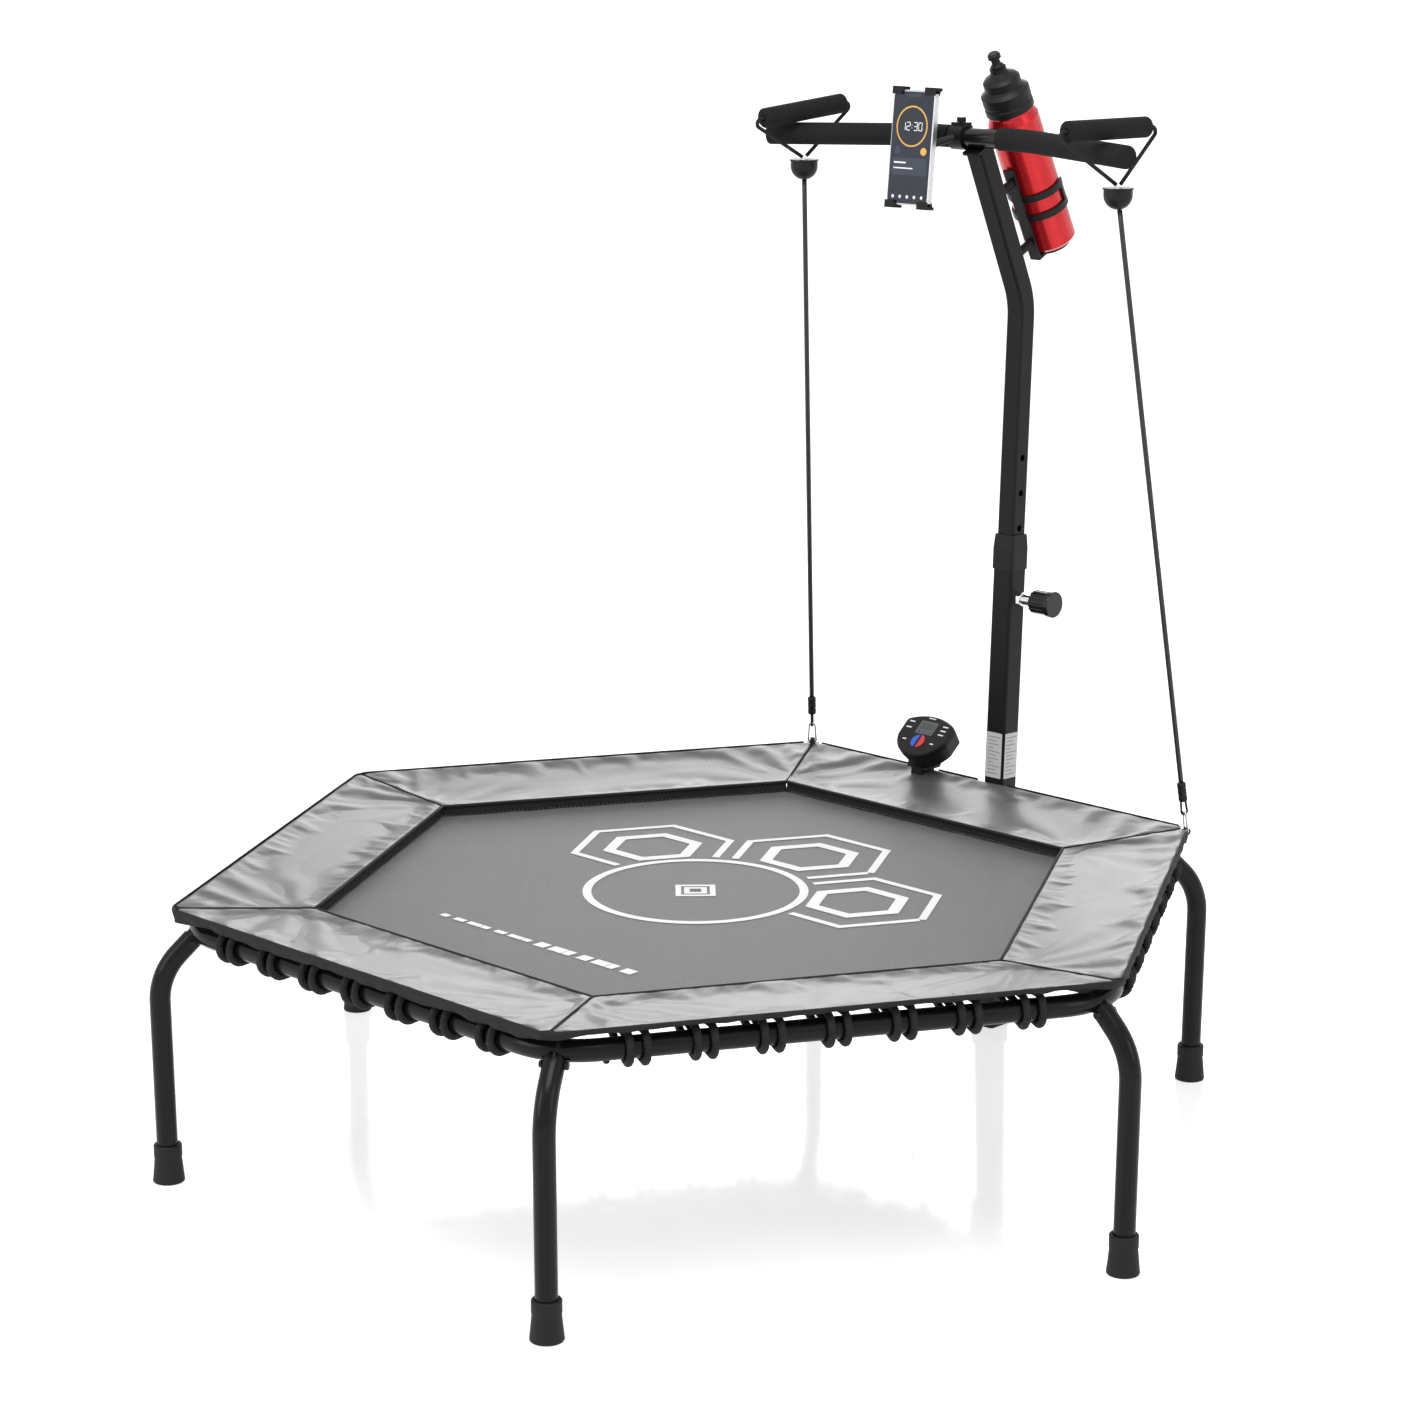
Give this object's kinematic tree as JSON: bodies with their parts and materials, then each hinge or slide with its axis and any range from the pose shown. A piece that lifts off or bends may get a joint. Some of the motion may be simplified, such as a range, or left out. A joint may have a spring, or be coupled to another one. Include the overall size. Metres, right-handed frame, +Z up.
{
  "type": "mini trampoline",
  "caption": "Hexagonal fitness trampoline on bent tube legs, with a padded cover, handlebar mast, phone holder, bottle cage, step counter and resistance tubes.",
  "frame": {"origin": "centre of the frame hexagon on the floor", "axes": "+Z up, +Y from the centre to the mast, +X to the user's right, towards a leg"},
  "size_m": [1.3684, 1.2943, 1.3119],
  "materials": {
    "frame_paint": "gloss",
    "post_paint": "satin",
    "foot_rubber": "matte",
    "zinc": "satin",
    "chrome_pin": "polished",
    "mat_fabric": "matte",
    "webbing": "matte",
    "bungee_cord": "matte",
    "pad_cover": "satin",
    "plastic_black": "matte",
    "plastic_gloss": "gloss",
    "grip_foam": "matte",
    "tube_rubber": "satin",
    "bottle_plastic": "satin",
    "bottle_red": "gloss",
    "phone_black": "polished",
    "lcd": "satin",
    "blue": "gloss",
    "red": "gloss"
  },
  "bodies": {
    "frame": {"frame_rail_1": "frame_paint", "frame_rail_2": "frame_paint", "frame_rail_3": "frame_paint", "frame_rail_4": "frame_paint", "frame_rail_5": "frame_paint", "frame_rail_6": "frame_paint", "leg_1": "frame_paint", "leg_2": "frame_paint", "leg_3": "frame_paint", "leg_4": "frame_paint", "leg_5": "frame_paint", "leg_6": "frame_paint", "feet": "foot_rubber", "frame_screws": "zinc", "hook_straps": "webbing", "snap_hooks": "zinc", "bungees": "bungee_cord", "pad_panels": "pad_cover", "pad_skirt": "pad_cover", "lower_post": "post_paint", "post_foot_cap": "foot_rubber", "post_bracket": "post_paint", "post_collar": "plastic_black", "lock_bush": "chrome_pin", "counter_back": "plastic_black", "counter_face": "plastic_gloss", "counter_lcd": "lcd", "count_sensor": "plastic_black", "counter_lead": "plastic_black", "lead_connector": "plastic_black", "sensor_lead": "plastic_black"},
    "mat": {"jump_mat": "mat_fabric", "mat_webbing": "webbing"},
    "mast": {"upper_post": "post_paint", "handlebar": "frame_paint", "bar_grip_left": "grip_foam", "bar_grip_right": "grip_foam", "bottle_cage": "post_paint", "cage_screws": "zinc", "handle_loops": "webbing", "ball_stops": "plastic_gloss", "left_tube": "tube_rubber", "right_tube": "tube_rubber"},
    "lock": {"lock_pin": "chrome_pin", "lock_knob": "plastic_black"},
    "holder": {"holder_clamp": "plastic_black"},
    "holder_screw": {"clamp_knob": "plastic_black"},
    "cradle": {"phone_cradle": "plastic_black", "phone": "phone_black"},
    "jaw": {"upper_jaw": "plastic_black"},
    "bottle": {"bottle_body": "bottle_red"},
    "cap": {"bottle_cap": "bottle_plastic"},
    "nozzle": {"bottle_nozzle": "bottle_plastic"},
    "left_handle": {"left_handle_grip": "grip_foam"},
    "right_handle": {"right_handle_grip": "grip_foam"},
    "left_snap": {"left_gate": "zinc"},
    "right_snap": {"right_gate": "zinc"},
    "blue_key": {"button_blue": "blue"},
    "red_key": {"button_red": "red"}
  },
  "joints": [
    {"name": "mat_bounce", "type": "slide", "parent": "frame", "child": "mat", "axis": [0, 0, 1], "range_m": [-0.1, 0], "stiffness_N_per_m": 9000, "deforming": ["bungees"]},
    {"name": "mast_height", "type": "slide", "parent": "frame", "child": "mast", "axis": [0, 0.0366, 0.9993], "range_m": [-0.188, 0], "deforming": ["left_tube", "right_tube"]},
    {"name": "lock_pull", "type": "slide", "parent": "frame", "child": "lock", "axis": [1, 0, 0], "range_m": [0, 0.008], "stiffness_N_per_m": 900, "springref_m": -0.004},
    {"name": "holder_tilt", "type": "hinge", "parent": "mast", "child": "holder", "pos_m": [0, 0.50574, 1.2036], "axis": [1, 0, 0], "range_deg": [-25, 25]},
    {"name": "clamp_knob_turn", "type": "hinge", "parent": "holder", "child": "holder_screw", "pos_m": [-0.025, 0.50574, 1.2245], "axis": [0, 0, 1], "continuous": true},
    {"name": "cradle_turn", "type": "hinge", "parent": "holder", "child": "cradle", "pos_m": [-0.05, 0.45792, 1.18981], "axis": [0, -0.9956, 0.0941], "range_deg": [-90, 90]},
    {"name": "jaw_open", "type": "slide", "parent": "cradle", "child": "jaw", "axis": [0, 0.0941, 0.9956], "range_m": [0, 0.015], "stiffness_N_per_m": 200, "springref_m": -0.005},
    {"name": "bottle_lift", "type": "slide", "parent": "mast", "child": "bottle", "axis": [0, -0.4571, 0.8894], "range_m": [0, 0.2]},
    {"name": "cap_turn", "type": "hinge", "parent": "bottle", "child": "cap", "pos_m": [0, 0.6634, 1.0613], "axis": [0, -0.4571, 0.8894], "continuous": true},
    {"name": "nozzle_pull", "type": "slide", "parent": "cap", "child": "nozzle", "axis": [0, -0.4571, 0.8894], "range_m": [0, 0.005]},
    {"name": "left_handle_spin", "type": "hinge", "parent": "mast", "child": "left_handle", "pos_m": [-0.251, 0.452, 1.229], "axis": [0.1203, 0.9871, 0.1052], "continuous": true},
    {"name": "right_handle_spin", "type": "hinge", "parent": "mast", "child": "right_handle", "pos_m": [0.255, 0.446, 1.2295], "axis": [0.1302, 0.9915, 0], "continuous": true},
    {"name": "left_gate_open", "type": "hinge", "parent": "frame", "child": "left_snap", "pos_m": [-0.32473, 0.5514, 0.35048], "axis": [-0.4952, 0.8578, 0.1379], "range_deg": [0, 11], "stiffness_Nm_per_rad": 0.01},
    {"name": "right_gate_open", "type": "hinge", "parent": "frame", "child": "right_snap", "pos_m": [0.31906, 0.56386, 0.34241], "axis": [0.4948, 0.857, 0.144], "range_deg": [0, 11], "stiffness_Nm_per_rad": 0.01},
    {"name": "blue_press", "type": "slide", "parent": "frame", "child": "blue_key", "axis": [0, -0.6428, 0.766], "range_m": [-0.0015, 0], "stiffness_N_per_m": 400},
    {"name": "red_press", "type": "slide", "parent": "frame", "child": "red_key", "axis": [0, -0.6428, 0.766], "range_m": [-0.0015, 0], "stiffness_N_per_m": 400}
  ]
}
